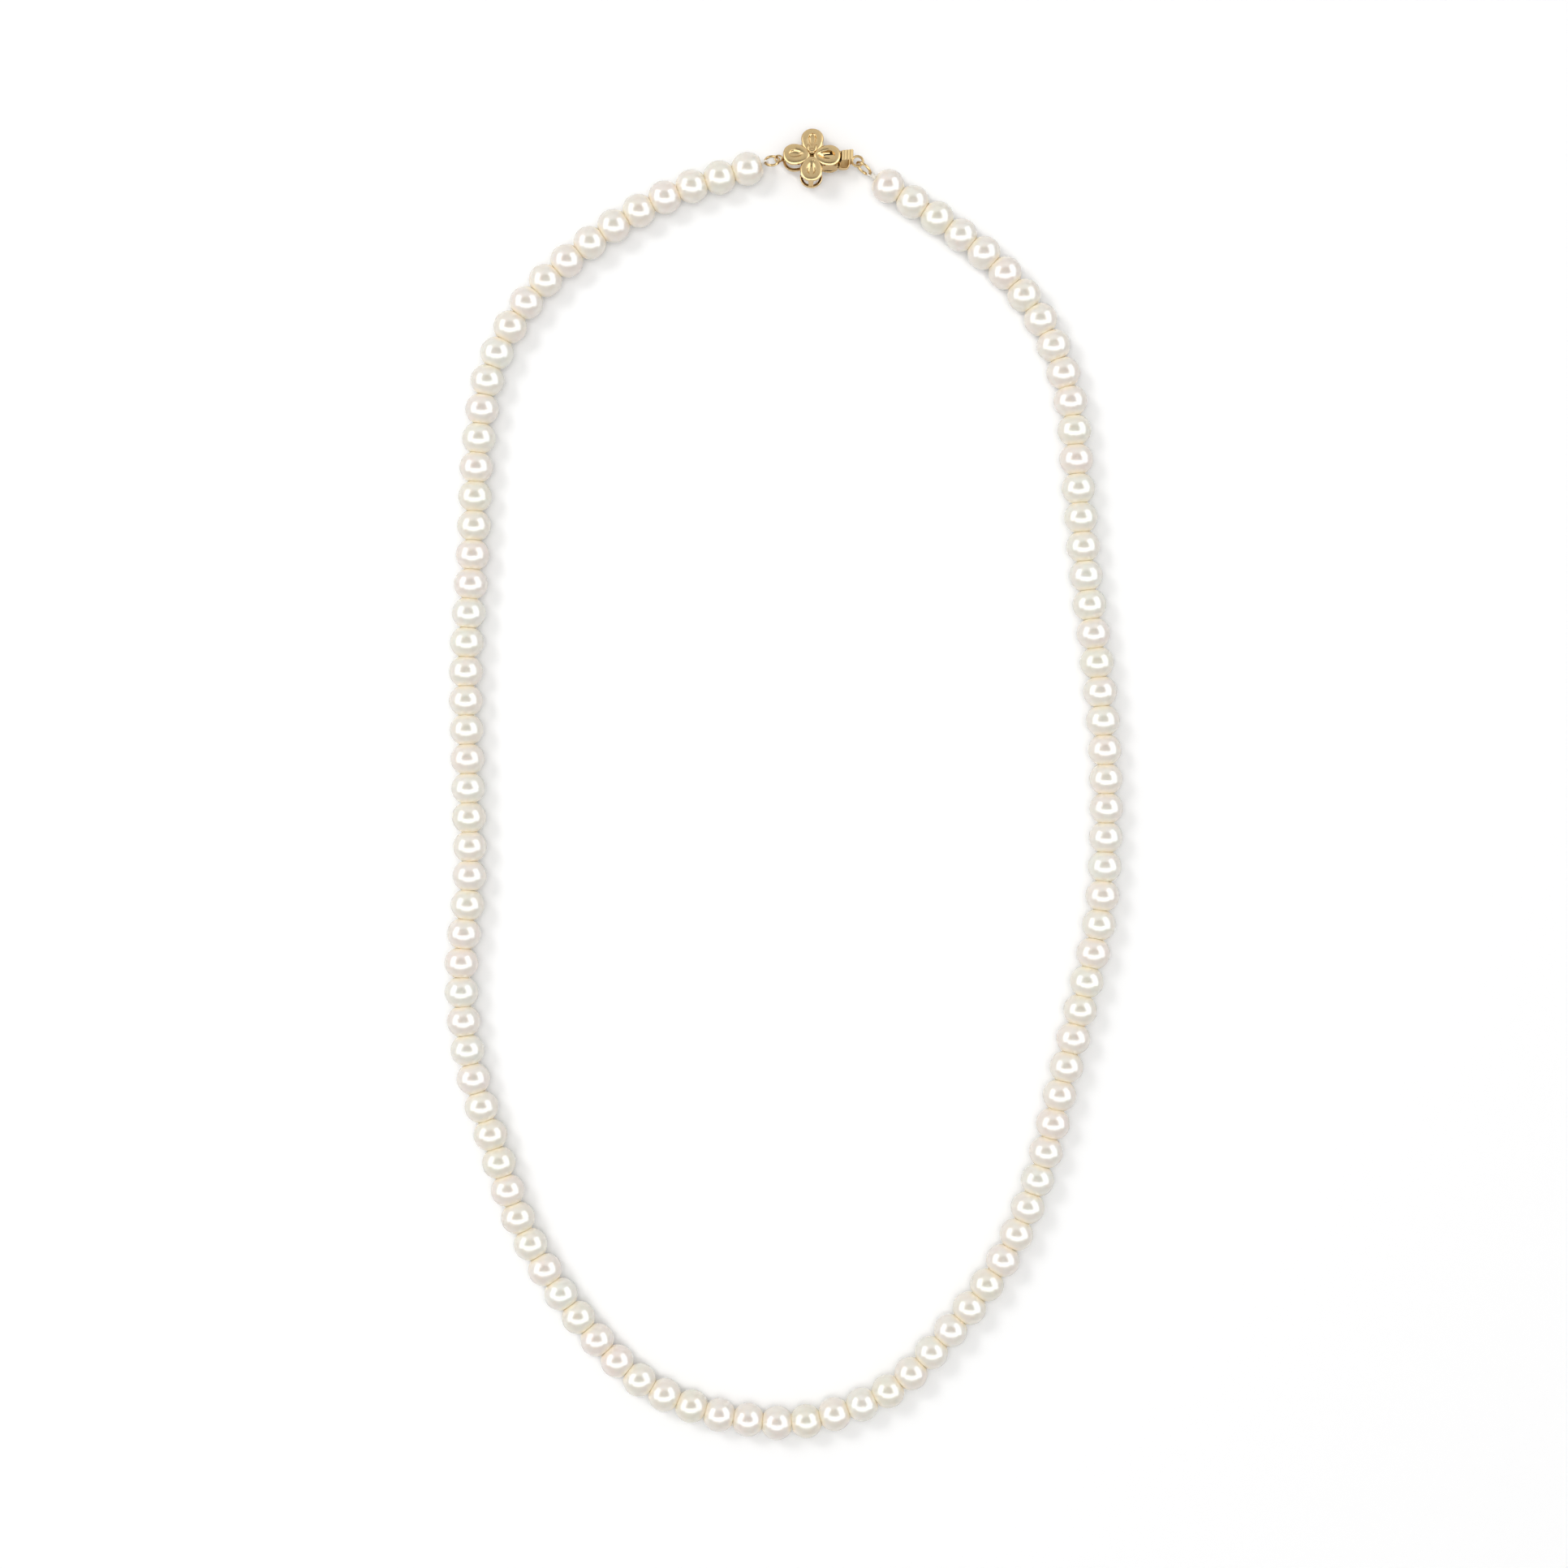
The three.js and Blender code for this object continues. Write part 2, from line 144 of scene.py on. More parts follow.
# ---- The thread's route ----
# One silk thread runs through every pearl. These are the points it was laid along, from the clasp's
# left end round the front to its right end; the pearls sit on it at equal spaces.
ROUTE = [
    (-5.3, 89.2), (-16.6, 85.4), (-27.2, 79.2), (-36.5, 70.9), (-42.4, 60.5), (-44.4, 48.5),
    (-45.1, 33.9), (-46.1, 17.0), (-45.8, 0.1), (-45.6, -14.0), (-46.8, -27.2), (-45.7, -39.7),
    (-42.4, -51.4), (-38.0, -64.2), (-31.1, -75.7), (-21.9, -85.7), (-12.7, -90.5), (-4.3, -92.3),
    (3.7, -92.3), (15.2, -88.0), (24.3, -79.1), (32.2, -68.3), (37.1, -56.4), (40.3, -43.7),
    (43.2, -31.7), (45.8, -19.5), (46.7, -7.1), (46.5, 5.4), (45.4, 17.5), (43.8, 30.1),
    (42.7, 42.7), (41.5, 55.7), (37.9, 66.1), (31.7, 74.5), (23.9, 80.9), (15.1, 86.7),
]
PEARL_COUNT = 104
PEARLS_PER_RUN = 4
STEPS_PER_SPAN = 60


def smooth_route(points):
    """A Catmull-Rom curve through the points, as a fine polyline."""
    knots = [Vector((x * MM, y * MM, thread_height)) for x, y in points]
    knots = [2 * knots[0] - knots[1]] + knots + [2 * knots[-1] - knots[-2]]
    line = []
    for a, b, c, d in zip(knots, knots[1:], knots[2:], knots[3:]):
        for step in range(STEPS_PER_SPAN):
            t = step / STEPS_PER_SPAN
            line.append(0.5 * (2 * b + (c - a) * t + (2 * a - 5 * b + 4 * c - d) * t * t
                               + (3 * b - a - 3 * c + d) * t ** 3))
    return line + [knots[-2]]


route_line = smooth_route(ROUTE)
route_marks = [0.0]
for near, far in zip(route_line, route_line[1:]):
    route_marks.append(route_marks[-1] + (far - near).length)
PITCH = route_marks[-1] / (PEARL_COUNT - 1)


def on_route(pearls_along):
    """The place and direction on the route, counted in pearls from the left end."""
    target = min(max(pearls_along * PITCH, 0), route_marks[-1])
    for index in range(1, len(route_line)):
        if route_marks[index] >= target:
            break
    near, far = route_line[index - 1], route_line[index]
    share = (target - route_marks[index - 1]) / (route_marks[index] - route_marks[index - 1])
    direction = (far - near).normalized()
    place = near.lerp(far, share) + direction * (pearls_along * PITCH - target)
    return place, direction


def run_of(pearl):
    """The run that a pearl belongs to: its name's end, counted from the clasp on each side."""
    run = pearl // PEARLS_PER_RUN
    runs = PEARL_COUNT // PEARLS_PER_RUN
    side, number = ("left", run + 1) if run < runs // 2 else ("right", runs - run)
    return side, f"{number:02d}"


# ---- Pearls ----
# Near-round cultured pearls, a little flattened along the drill hole, 4.95 mm across. Each is drilled
# right through, and no two have quite the same size, tint or turn on the thread.
PEARL_RADIUS = (pearl_box[1][2] - pearl_box[0][2]) / 2
PEARL_GAP = 0.012 * MM
PEARL_HALF = (PITCH - PEARL_GAP) / 2
HOLE_RADIUS = 0.34 * MM
HOLE_ROUNDING = 0.06 * MM
PEARL_POLE = 2.37 * MM
RIM_HEIGHT = PEARL_HALF - 0.045 * MM
END_STEPS = ((0.2, 0.016), (0.3, 0.016), (0.35, 0.01))
# Where the painted warm glow at the pearls' contacts starts, as a share of the half length towards each
# drill hole, and how strong it gets at the end.
GLOW_FROM = 0.62
GLOW_MOST = 0.75


def choose_verts(piece, test):
    """Selects, in edit mode, the vertices whose place passes the test."""
    bpy.ops.mesh.select_mode(type="VERT")
    bpy.ops.mesh.select_all(action="DESELECT")
    bpy.ops.object.mode_set(mode="OBJECT")
    for vertex in piece.data.vertices:
        vertex.select = test(vertex.co)
    bpy.ops.object.mode_set(mode="EDIT")


def choose_faces(piece, test):
    """Selects, in edit mode, the faces whose centre and normal pass the test."""
    bpy.ops.mesh.select_mode(type="FACE")
    bpy.ops.mesh.select_all(action="DESELECT")
    bpy.ops.object.mode_set(mode="OBJECT")
    for face in piece.data.polygons:
        face.select = test(face.center, face.normal)
    bpy.ops.object.mode_set(mode="EDIT")


def only(piece):
    """Makes the piece the only one selected, and the active one."""
    bpy.ops.object.select_all(action="DESELECT")
    piece.select_set(True)
    bpy.context.view_layer.objects.active = piece


def first_pearl():
    """One pearl on its own drill axis, Z, with a nearly flat end round each mouth of the hole."""
    bpy.ops.object.select_all(action="DESELECT")
    bpy.ops.mesh.primitive_uv_sphere_add(segments=36, ring_count=20, radius=PEARL_RADIUS)
    pearl = bpy.context.active_object
    bpy.ops.object.mode_set(mode="EDIT")
    bpy.ops.mesh.select_mode(type="VERT")
    bpy.ops.transform.resize(value=(1, 1, PEARL_POLE / PEARL_RADIUS))
    for end in (-1, 1):
        bpy.ops.mesh.select_all(action="SELECT")
        bpy.ops.mesh.bisect(plane_co=(0, 0, end * RIM_HEIGHT), plane_no=(0, 0, end),
                            use_fill=True, clear_outer=True)
    choose_faces(pearl, lambda centre, normal: abs(centre.z) > RIM_HEIGHT * 0.999)
    rim = PEARL_RADIUS * math.sqrt(1 - (RIM_HEIGHT / PEARL_POLE) ** 2)
    for step_in, step_out in END_STEPS:
        bpy.ops.mesh.inset(thickness=step_in * MM, depth=step_out * MM, use_individual=True)
        rim -= step_in * MM
    bpy.ops.mesh.inset(thickness=rim - HOLE_RADIUS, depth=0.005 * MM, use_individual=True)
    bpy.ops.mesh.bridge_edge_loops()
    choose_verts(pearl, lambda co: co.xy.length < HOLE_RADIUS * 1.2)
    bpy.ops.mesh.bevel(offset=HOLE_ROUNDING, segments=2)
    bpy.ops.mesh.select_all(action="SELECT")
    bpy.ops.mesh.normals_make_consistent(inside=False)
    bpy.ops.object.mode_set(mode="OBJECT")
    bpy.ops.object.shade_smooth_by_angle(angle=math.radians(50))
    return pearl


def nacre():
    """Lustrous nacre: the pearl's own tint, clouded with rose and green, with a painted warm glow towards
    the drill holes, where the pearls touch.
    """
    material, tree, shader = node_material("nacre")
    nodes, links = tree.nodes, tree.links
    place = nodes.new("ShaderNodeTexCoord")
    tint = nodes.new("ShaderNodeAttribute")
    tint.attribute_name = "tint"
    contact_glow = nodes.new("ShaderNodeAttribute")
    contact_glow.attribute_name = "painted_contact_glow"

    clouds = nodes.new("ShaderNodeTexNoise")
    clouds.inputs["Scale"].default_value = 420
    clouds.inputs["Detail"].default_value = 3
    links.new(place.outputs["Object"], clouds.inputs["Vector"])
    overtone = nodes.new("ShaderNodeValToRGB")
    overtone.color_ramp.elements[0].position = 0.36
    overtone.color_ramp.elements[0].color = (1.0, 0.965, 0.95, 1)
    overtone.color_ramp.elements[1].position = 0.64
    overtone.color_ramp.elements[1].color = (0.985, 1.0, 0.965, 1)
    links.new(clouds.outputs["Fac"], overtone.inputs["Fac"])
    clouded = nodes.new("ShaderNodeMix")
    clouded.data_type = "RGBA"
    clouded.blend_type = "MULTIPLY"
    clouded.inputs["Factor"].default_value = 1.0
    links.new(tint.outputs["Color"], clouded.inputs["A"])
    links.new(overtone.outputs["Color"], clouded.inputs["B"])

    # The warm colour towards each end is painted light: a warm glow in the nacre where neighbouring pearls
    # touch.
    glow_mixed = nodes.new("ShaderNodeMix")
    glow_mixed.data_type = "RGBA"
    glow_mixed.inputs["B"].default_value = (0.95, 0.83, 0.62, 1)
    links.new(contact_glow.outputs["Fac"], glow_mixed.inputs["Factor"])
    links.new(clouded.outputs["Result"], glow_mixed.inputs["A"])
    links.new(glow_mixed.outputs["Result"], shader.inputs["Base Color"])

    skin = nodes.new("ShaderNodeTexNoise")
    skin.inputs["Scale"].default_value = 2600
    skin.inputs["Detail"].default_value = 2
    links.new(place.outputs["Object"], skin.inputs["Vector"])
    lustre = nodes.new("ShaderNodeMapRange")
    lustre.inputs["To Min"].default_value = 0.17
    lustre.inputs["To Max"].default_value = 0.25
    links.new(skin.outputs["Fac"], lustre.inputs["Value"])
    links.new(lustre.outputs["Result"], shader.inputs["Roughness"])
    ripple = nodes.new("ShaderNodeBump")
    ripple.inputs["Strength"].default_value = 0.12
    ripple.inputs["Distance"].default_value = 0.02 * MM
    links.new(clouds.outputs["Fac"], ripple.inputs["Height"])
    links.new(ripple.outputs["Normal"], shader.inputs["Normal"])

    shader.inputs["IOR"].default_value = 2.5
    shader.inputs["Coat Weight"].default_value = 0.4
    shader.inputs["Coat Roughness"].default_value = 0.14
    shader.inputs["Subsurface Weight"].default_value = 0.4
    shader.inputs["Subsurface Radius"].default_value = (1.0, 0.8, 0.6)
    shader.inputs["Subsurface Scale"].default_value = 0.8 * MM
    return material


PEARL_TINTS = [
    (0.720, 0.675, 0.603), (0.730, 0.662, 0.606), (0.710, 0.688, 0.626),
    (0.705, 0.668, 0.576), (0.721, 0.666, 0.614), (0.712, 0.684, 0.605),
]
nacre_material = nacre()
pattern_pearl = first_pearl()
pearl_luck = random.Random(7)
for index in range(PEARL_COUNT):
    side, number = run_of(index)
    centre, along = on_route(index)
    across = along.cross(Vector((0, 0, 1)))
    upright = across.cross(along)
    body = pattern_pearl.data.copy()
    body.transform(Matrix.Rotation(pearl_luck.uniform(0, math.tau), 4, "Z"))
    smaller = pearl_luck.uniform(0.985, 1.0)
    body.transform(Matrix.Diagonal((smaller, smaller * pearl_luck.uniform(0.985, 1.0), 1, 1)))
    base, partner = pearl_luck.choice(PEARL_TINTS), pearl_luck.choice(PEARL_TINTS)
    share = pearl_luck.random()
    tone = [a + (b - a) * share for a, b in zip(base, partner)]
    body.attributes.new("tint", "FLOAT_COLOR", "POINT")
    body.attributes.new("painted_contact_glow", "FLOAT", "POINT")
    for vertex in body.vertices:
        # Each vertex's share of the painted warm glow, growing towards the ends where the pearls touch.
        reach = abs(vertex.co.z) / PEARL_HALF
        contact_glow = GLOW_MOST * max(0.0, (reach - GLOW_FROM) / (1 - GLOW_FROM)) ** 1.5
        body.attributes["tint"].data[vertex.index].color = (*tone, 1)
        body.attributes["painted_contact_glow"].data[vertex.index].value = contact_glow
    stand = Matrix((across, upright, along)).transposed().to_4x4()
    body.transform(Matrix.Translation(centre) @ stand)
    pearl = bpy.data.objects.new(f"pearl_{index + 1:03d}", body)
    bpy.context.scene.collection.objects.link(pearl)
    body.materials.clear()
    body.materials.append(nacre_material)
    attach(pearl, f"{side}_run_{number}")
    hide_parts(f"{side}_pearl_run_{number}")
bpy.data.objects.remove(pattern_pearl)


# ---- Clasp face ----
# Four cast gold petals are soldered together at the middle. Their tops are brushed to a satin with bright
# edges, each has a long hollow, and the back one's tip is folded into a bright lip over the middle.
joints = {joint["name"]: joint for joint in frame["record"]["behaviour"]["joints"]}
CLASP_BACK_POINT = Vector((0, 3.98, -1.35))
PETAL_RADIUS = 1.62
PETAL_SEAT = 2.56
PETAL_POINT = 0.68
PETAL_HEART = 2.35
FACE_BOTTOM = 0.75
PETAL_WALL = 0.40
PETAL_TOP = FACE_BOTTOM + PETAL_WALL
# How the petal's top is drawn in: each ring's share of the last one's width and length, and its rise.
PETAL_RINGS = (
    (0.93, 0.945, 0.11), (0.96, 0.965, 0.04), (0.95, 0.96, 0.02), (0.82, 0.85, 0.02),
    (0.56, 0.74, 0.0), (0.92, 0.95, -0.03), (0.84, 0.88, -0.13), (0.72, 0.80, -0.10), (0.5, 0.6, -0.02),
)
HOLLOW_SLANT = 1.1
HOLLOW_HALF_WIDTH = 0.74
HOLLOW_HALF_LENGTH = 1.25
HOLLOW_MIDDLE = 2.25
HOLLOW_TOP = PETAL_TOP + 0.19
TOP_FACING = 0.93


def standing(x_axis, y_axis, z_axis, place):
    """Turns a piece made in millimetres, in its own directions, to its place in the frame."""
    turned = Matrix((x_axis, y_axis, z_axis)).transposed().to_4x4()
    return Matrix.Translation(place) @ turned @ Matrix.Scale(MM, 4)


back_mount = frame["record"]["mounts"][0]
clasp_x = Vector(joints["tongue_slide"]["axis"]).normalized()
clasp_z = -Vector(back_mount["axis"])
clasp_z = (clasp_z - clasp_z.project(clasp_x)).normalized()
clasp_y = clasp_z.cross(clasp_x)
clasp_stand = standing(clasp_x, clasp_y, clasp_z, Vector(back_mount["pos_m"]))
clasp_stand = clasp_stand @ Matrix.Translation(-CLASP_BACK_POINT)


def gold(name, roughness, grain, grain_depth):
    """Yellow gold: grain is how fine the brushing is, and grain_depth how deep."""
    material, tree, shader = node_material(name)
    nodes, links = tree.nodes, tree.links
    place = nodes.new("ShaderNodeTexCoord")
    brushing = nodes.new("ShaderNodeTexNoise")
    brushing.inputs["Scale"].default_value = grain
    brushing.inputs["Detail"].default_value = 4
    links.new(place.outputs["Object"], brushing.inputs["Vector"])
    alloy = nodes.new("ShaderNodeValToRGB")
    alloy.color_ramp.elements[0].position = 0.3
    alloy.color_ramp.elements[0].color = (0.55, 0.375, 0.175, 1)
    alloy.color_ramp.elements[1].position = 0.7
    alloy.color_ramp.elements[1].color = (0.64, 0.465, 0.245, 1)
    links.new(brushing.outputs["Fac"], alloy.inputs["Fac"])
    links.new(alloy.outputs["Color"], shader.inputs["Base Color"])
    wear = nodes.new("ShaderNodeMapRange")
    wear.inputs["To Min"].default_value = roughness * 0.75
    wear.inputs["To Max"].default_value = roughness * 1.25
    links.new(brushing.outputs["Fac"], wear.inputs["Value"])
    links.new(wear.outputs["Result"], shader.inputs["Roughness"])
    bump = nodes.new("ShaderNodeBump")
    bump.inputs["Strength"].default_value = 0.5
    bump.inputs["Distance"].default_value = grain_depth
    links.new(brushing.outputs["Fac"], bump.inputs["Height"])
    links.new(bump.outputs["Normal"], shader.inputs["Normal"])
    shader.inputs["Metallic"].default_value = 1.0
    return material


satin_gold = gold("satin_gold", 0.36, 9000, 0.01 * MM)
polished_gold = gold("polished_gold", 0.07, 1500, 0.002 * MM)


def teardrop(name, radius, seat, point):
    """A filled petal outline in the clasp's own millimetres. It points along +Y, its tip at the middle."""
    bpy.ops.object.select_all(action="DESELECT")
    bpy.ops.mesh.primitive_circle_add(vertices=48, radius=radius, fill_type="NGON")
    piece = bpy.context.active_object
    piece.name = name
    bpy.ops.object.mode_set(mode="EDIT")
    bpy.ops.transform.translate(value=(0, seat, 0))
    choose_verts(piece, lambda co: co.y < seat - radius * 0.98)
    bpy.ops.transform.translate(value=(0, -point, 0), use_proportional_edit=True,
                                proportional_edit_falloff="SMOOTH", proportional_size=2.4)
    bpy.ops.mesh.select_all(action="SELECT")
    return piece


def raise_ring(widen, lengthen, rise):
    """Draws the chosen face on into another ring of the petal's top."""
    bpy.ops.mesh.extrude_region_move(TRANSFORM_OT_translate={"value": (0, 0, rise)})
    bpy.ops.transform.resize(value=(widen, lengthen, 1), center_override=(0, PETAL_HEART, 0))


def shape_done(piece, smooth_angle=35):
    """Leaves edit mode with the faces turned outwards and smooth across all but the sharp edges."""
    bpy.ops.mesh.select_all(action="SELECT")
    bpy.ops.mesh.normals_make_consistent(inside=False)
    bpy.ops.object.mode_set(mode="OBJECT")
    only(piece)
    bpy.ops.object.shade_smooth_by_angle(angle=math.radians(smooth_angle))


def round_edges(piece, width, segments=2):
    """Rounds the piece's sharp edges with an applied bevel."""
    only(piece)
    edges = piece.modifiers.new("edges", "BEVEL")
    edges.width = width
    edges.segments = segments
    edges.limit_method = "ANGLE"
    edges.angle_limit = math.radians(40)
    bpy.ops.object.modifier_apply(modifier=edges.name)


def hand_over(piece, stand, body, node, materials=(), polished=None):
    """Stands a finished piece in its place with its materials, hangs it on its body and hides the CAD node
    it takes over from.
    """
    for material in materials or (satin_gold, polished_gold):
        piece.data.materials.append(material)
    if polished:
        for face in piece.data.polygons:
            face.material_index = 1 if polished(face.center, face.normal) else 0
    piece.data.transform(stand @ piece.matrix_world)
    piece.matrix_world = Matrix.Identity(4)
    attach(piece, body)
    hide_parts(node)


petal = teardrop("petal_back", PETAL_RADIUS, PETAL_SEAT, PETAL_POINT)
raise_ring(1.0, 1.0, PETAL_WALL)
for widen, lengthen, rise in PETAL_RINGS:
    raise_ring(widen, lengthen, rise)
    if rise < 0:
        bpy.ops.transform.translate(value=(0, -HOLLOW_SLANT * rise, 0))
shape_done(petal, 30)
petal.data.transform(Matrix.Translation((0, 0, FACE_BOTTOM)))


def over_hollow(place):
    """Whether a place is over the hollow, seen from above the petal."""
    aside, ahead = place.x / HOLLOW_HALF_WIDTH, (place.y - HOLLOW_MIDDLE) / HOLLOW_HALF_LENGTH
    return aside ** 2 + ahead ** 2 < 1


def in_hollow(place):
    """Whether a place is over the hollow and under its rim."""
    return over_hollow(place) and place.z < HOLLOW_TOP - 0.012


def satin_but_edges(centre, normal):
    """Polished on the edges and the hollow's steep sides, and satin elsewhere."""
    return normal.z < TOP_FACING and not (in_hollow(centre) and normal.z > 0.8)


def bright_hollow(centre, normal):
    """Polished on the edges and all through the hollow."""
    return normal.z < TOP_FACING or in_hollow(centre)


def deepen_hollow(piece):
    """Sinks a petal's hollow to about twice its depth, and draws it out towards the middle."""
    for vertex in piece.data.vertices:
        if over_hollow(vertex.co) and vertex.co.z > FACE_BOTTOM + 0.5 * PETAL_WALL:
            vertex.co.z -= 1.1 * (HOLLOW_TOP - vertex.co.z)
            vertex.co.x *= 1.15
            vertex.co.y -= 0.18 * (3.3 - vertex.co.y)


PETALS = {"petal_left": 90, "petal_front": 180, "petal_right": 270}
for name, turn in PETALS.items():
    twin = bpy.data.objects.new(name, petal.data.copy())
    bpy.context.scene.collection.objects.link(twin)
    polish = satin_but_edges
    if name == "petal_right":
        deepen_hollow(twin)
        polish = bright_hollow
    hand_over(twin, clasp_stand @ Matrix.Rotation(math.radians(turn), 4, "Z"),
              "clasp_box", "flower_face", polished=polish)
hand_over(petal, clasp_stand, "clasp_box", "flower_face", polished=satin_but_edges)

LIP_RADIUS = 0.53
LIP_WIRE = 0.2
LIP_AT = Vector((0.0, 0.98, PETAL_TOP + 0.2))
bpy.ops.object.select_all(action="DESELECT")
bpy.ops.mesh.primitive_torus_add(major_segments=48, minor_segments=12, major_radius=LIP_RADIUS,
                                 minor_radius=LIP_WIRE, location=LIP_AT)
lip = bpy.context.active_object
lip.name = "folded_lip"
bpy.ops.object.transform_apply(location=True)
bpy.ops.object.mode_set(mode="EDIT")
bpy.ops.mesh.select_all(action="SELECT")
bpy.ops.mesh.bisect(plane_co=LIP_AT, plane_no=(0, 1, 0), use_fill=True, clear_outer=True)
choose_faces(lip, lambda centre, normal: normal.y > 0.9)
bpy.ops.mesh.extrude_region_move(TRANSFORM_OT_translate={"value": (0, 0.3, -0.02)})
bpy.ops.mesh.extrude_region_move(TRANSFORM_OT_translate={"value": (0, 0.35, -0.2)})
bpy.ops.transform.resize(value=(1.04, 1, 0.7))
shape_done(lip, 60)
hand_over(lip, clasp_stand, "clasp_box", "flower_face", materials=(polished_gold,))

EYELET_RADIUS = 0.17
EYELET_WIRE = 0.07
EYELET_AT = Vector((0.27, -1.0, PETAL_TOP + 0.17))
bpy.ops.object.select_all(action="DESELECT")
bpy.ops.mesh.primitive_torus_add(major_segments=28, minor_segments=10, major_radius=EYELET_RADIUS,
                                 minor_radius=EYELET_WIRE, location=EYELET_AT)
eyelet = bpy.context.active_object
eyelet.name = "petal_front_eyelet"
bpy.ops.object.transform_apply(location=True)
bpy.ops.object.mode_set(mode="EDIT")
bpy.ops.transform.resize(value=(1, 1, 0.6))
shape_done(eyelet, 60)
hand_over(eyelet, clasp_stand, "clasp_box", "flower_face", materials=(polished_gold,))


# ---- Clasp back ----
# The gallery: four open loops of flat gold strip in the shape of the petals, polished all over, with
# two flat posts that carry the face.
GALLERY_BOTTOM = -1.35
GALLERY_THICKNESS = 0.42
STRIP_WIDTH = 0.42
LOOP_POINT = 0.55
LOOP_HALF_LENGTH = 1.9
POST_HALF_WIDTH = 0.35
POST_INNER = 3.68
POST_OUTER = 4.08
SOLDER = 0.05

gallery_loop = teardrop("gallery_loop_back", PETAL_RADIUS, PETAL_SEAT, LOOP_POINT)
bpy.ops.mesh.delete(type="ONLY_FACE")
bpy.ops.mesh.select_all(action="SELECT")
bpy.ops.mesh.extrude_edges_move()
bpy.ops.transform.resize(value=(1 - STRIP_WIDTH / PETAL_RADIUS, 1 - STRIP_WIDTH / LOOP_HALF_LENGTH, 1),
                         center_override=(0, PETAL_HEART, 0))
bpy.ops.mesh.select_all(action="SELECT")
bpy.ops.mesh.extrude_region_move(TRANSFORM_OT_translate={"value": (0, 0, GALLERY_THICKNESS)})
shape_done(gallery_loop, 35)
round_edges(gallery_loop, 0.09, 3)
gallery_loop.data.transform(Matrix.Translation((0, 0, GALLERY_BOTTOM)))
for name, turn in PETALS.items():
    twin = bpy.data.objects.new(name.replace("petal", "gallery_loop"), gallery_loop.data.copy())
    bpy.context.scene.collection.objects.link(twin)
    hand_over(twin, clasp_stand @ Matrix.Rotation(math.radians(turn), 4, "Z"),
              "clasp_box", "gallery_back", materials=(polished_gold,))
hand_over(gallery_loop, clasp_stand, "clasp_box", "gallery_back", materials=(polished_gold,))


def block(name, low, high):
    """A block between two corners, left in edit mode with everything selected."""
    low, high = Vector(low), Vector(high)
    bpy.ops.object.select_all(action="DESELECT")
    bpy.ops.mesh.primitive_cube_add(size=1, location=(low + high) / 2)
    piece = bpy.context.active_object
    piece.name = name
    piece.scale = high - low
    bpy.ops.object.transform_apply(location=True, rotation=False, scale=True)
    bpy.ops.object.mode_set(mode="EDIT")
    return piece


for node, turn in (("gallery_post_front", math.pi), ("gallery_post_rear", 0)):
    post = block(node, (-POST_HALF_WIDTH, POST_INNER, GALLERY_BOTTOM + GALLERY_THICKNESS - SOLDER),
                 (POST_HALF_WIDTH, POST_OUTER, FACE_BOTTOM + SOLDER))
    choose_faces(post, lambda centre, normal: abs(normal.z) > 0.9)
    bpy.ops.mesh.inset(thickness=0.08, depth=0)
    bpy.ops.transform.resize(value=(1.35, 1.0, 1))
    shape_done(post)
    round_edges(post, 0.07, 3)
    hand_over(post, clasp_stand @ Matrix.Rotation(turn, 4, "Z"), "clasp_box", node)


# ---- Tongue sleeve ----
# The flat gold box between the face and the gallery that the tongue snaps into. It is open on the
# right, with a slot in its roof for the neck of the thumb tab.
SLEEVE_LOW = Vector((-1.3, -1.5, -0.78))
SLEEVE_HIGH = Vector((3.75, 1.5, 0.6))
SLEEVE_WALL = 0.22
SLOT_HALF_WIDTH = 0.55
SLOT_LENGTH = 1.1
SLOT_DEPTH = 0.4
CUTTER_SPARE = 1

sleeve = block("tongue_housing", SLEEVE_LOW, SLEEVE_HIGH)
choose_faces(sleeve, lambda centre, normal: normal.x > 0.9)
bpy.ops.mesh.inset(thickness=SLEEVE_WALL, depth=0)
bpy.ops.mesh.extrude_region_move(
    TRANSFORM_OT_translate={"value": (SLEEVE_LOW.x - SLEEVE_HIGH.x + SLEEVE_WALL, 0, 0)})
shape_done(sleeve)
slot_cutter = block(
    "slot_cutter", (SLEEVE_HIGH.x - SLOT_LENGTH, -SLOT_HALF_WIDTH, SLEEVE_HIGH.z - SLOT_DEPTH),
    (SLEEVE_HIGH.x + CUTTER_SPARE, SLOT_HALF_WIDTH, SLEEVE_HIGH.z + CUTTER_SPARE))
bpy.ops.object.mode_set(mode="OBJECT")
only(sleeve)
roof_slot = sleeve.modifiers.new("roof_slot", "BOOLEAN")
roof_slot.operation = "DIFFERENCE"
roof_slot.object = slot_cutter
bpy.ops.object.modifier_apply(modifier=roof_slot.name)
bpy.data.objects.remove(slot_cutter)
round_edges(sleeve, 0.05)
bpy.ops.object.shade_smooth_by_angle(angle=math.radians(35))
hand_over(sleeve, clasp_stand, "clasp_box", "tongue_housing",
          polished=lambda centre, normal: abs(normal.z) < 0.5)


# ---- Left eye ring ----
# A small ring of round gold wire, soldered flat to the left end of the gallery. The left jump ring
# hangs in it.
def wire_ring(name, centre, radius, wire, sides=14):
    """A ring of round wire round its own Z, in edit mode with everything selected."""
    bpy.ops.object.select_all(action="DESELECT")
    bpy.ops.mesh.primitive_torus_add(major_segments=56, minor_segments=sides, major_radius=radius,
                                     minor_radius=wire, location=centre)
    piece = bpy.context.active_object
    piece.name = name
    bpy.ops.object.transform_apply(location=True)
    bpy.ops.object.mode_set(mode="EDIT")
    bpy.ops.mesh.select_all(action="SELECT")
    return piece


